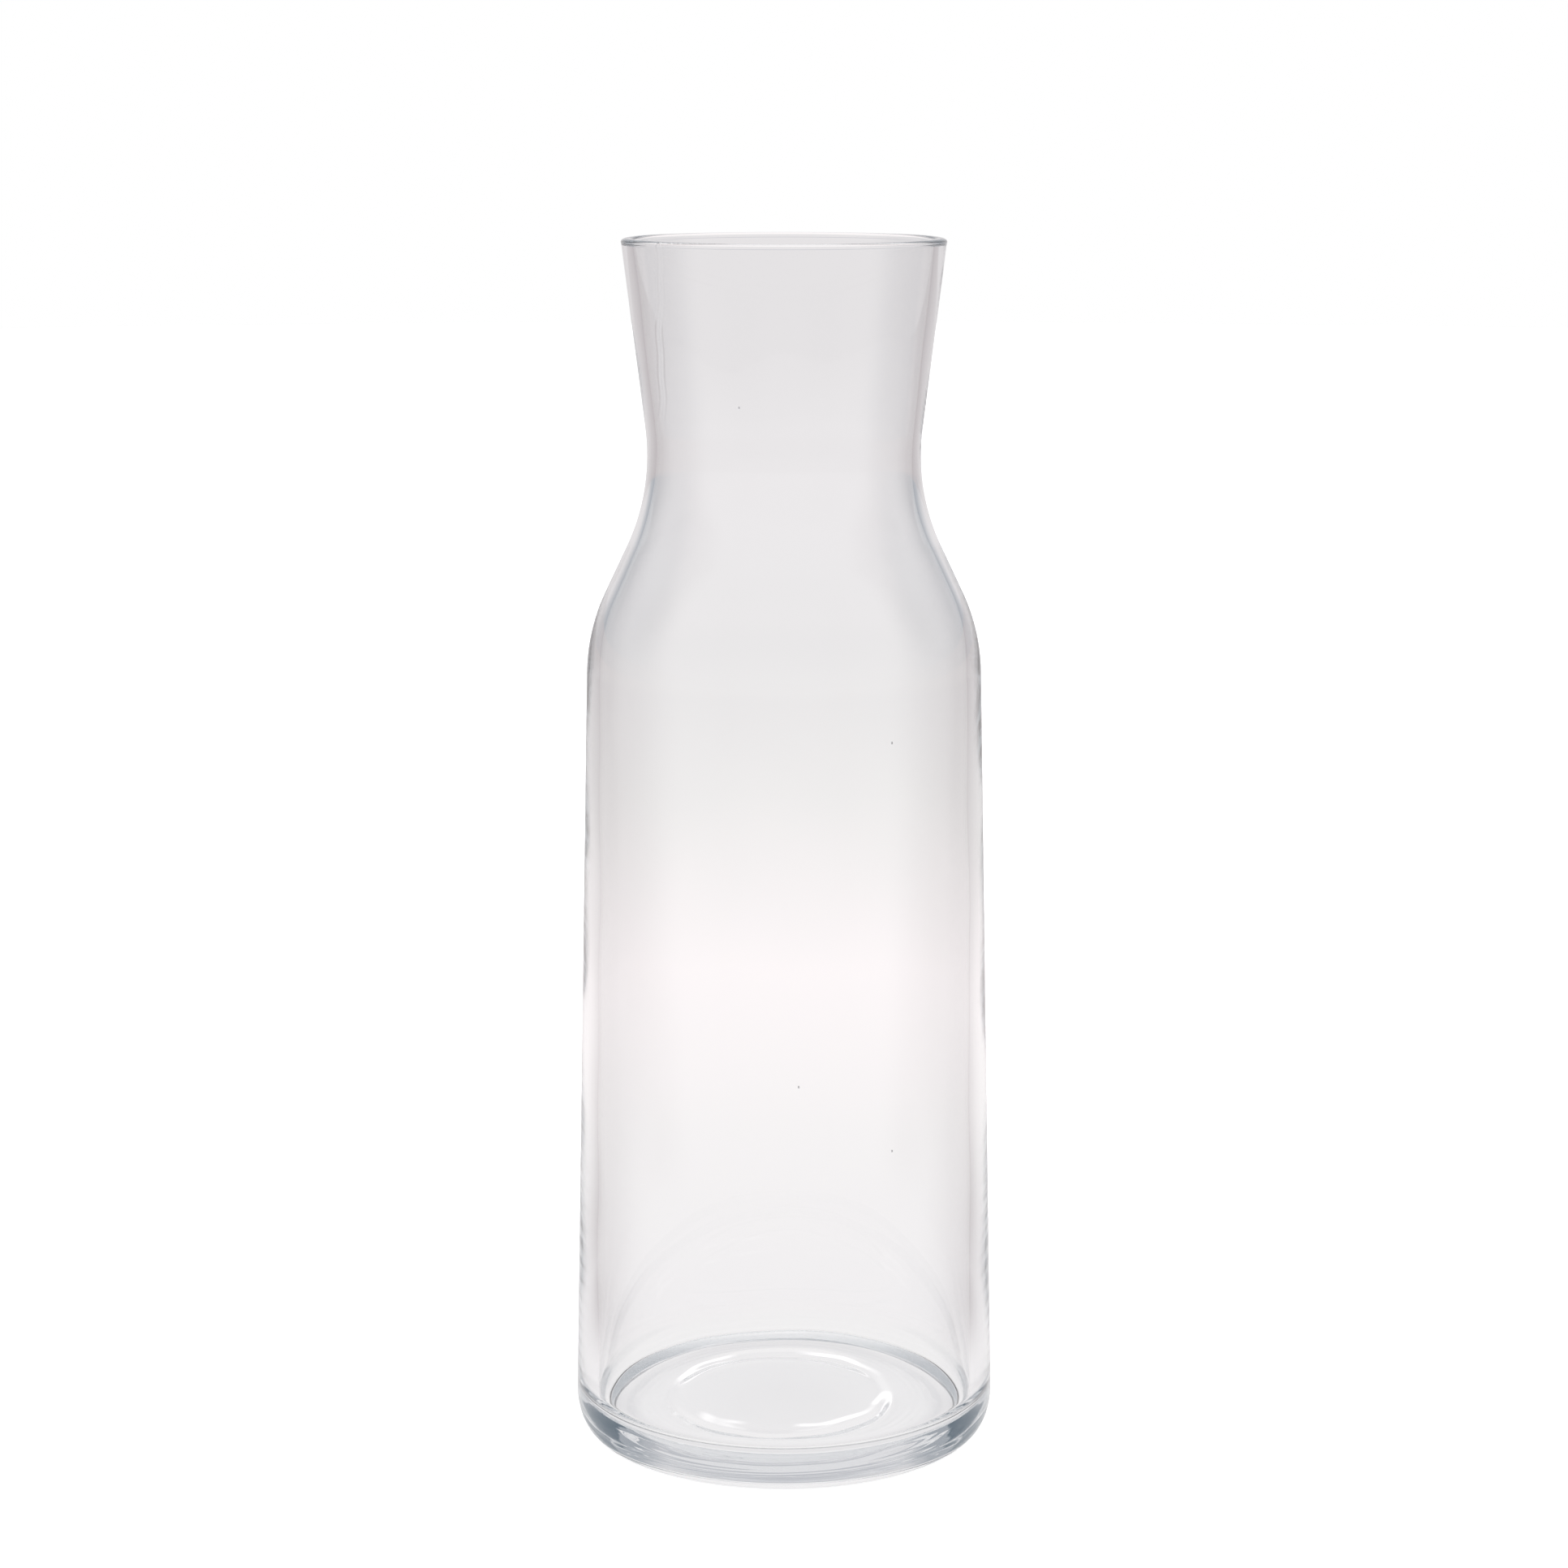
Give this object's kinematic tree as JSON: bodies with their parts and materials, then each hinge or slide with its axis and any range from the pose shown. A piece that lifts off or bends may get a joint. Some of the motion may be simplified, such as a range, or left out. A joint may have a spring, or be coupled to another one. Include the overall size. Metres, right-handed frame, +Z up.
{
  "type": "water carafe",
  "caption": "Tall clear glass table carafe: gently tapering round body, soft shoulder, narrow neck and flared mouth with a rounded rim.",
  "frame": {"origin": "centre of the ring that the carafe stands on, in the plane of the table", "axes": "+Z up along the carafe's axis; +X and +Y are any pair at right angles, as the carafe is round"},
  "size_m": [0.095, 0.095, 0.268],
  "materials": {
    "clear_glass": "gloss"
  },
  "bodies": {
    "root": {"glass_body": "clear_glass"}
  },
  "joints": []
}
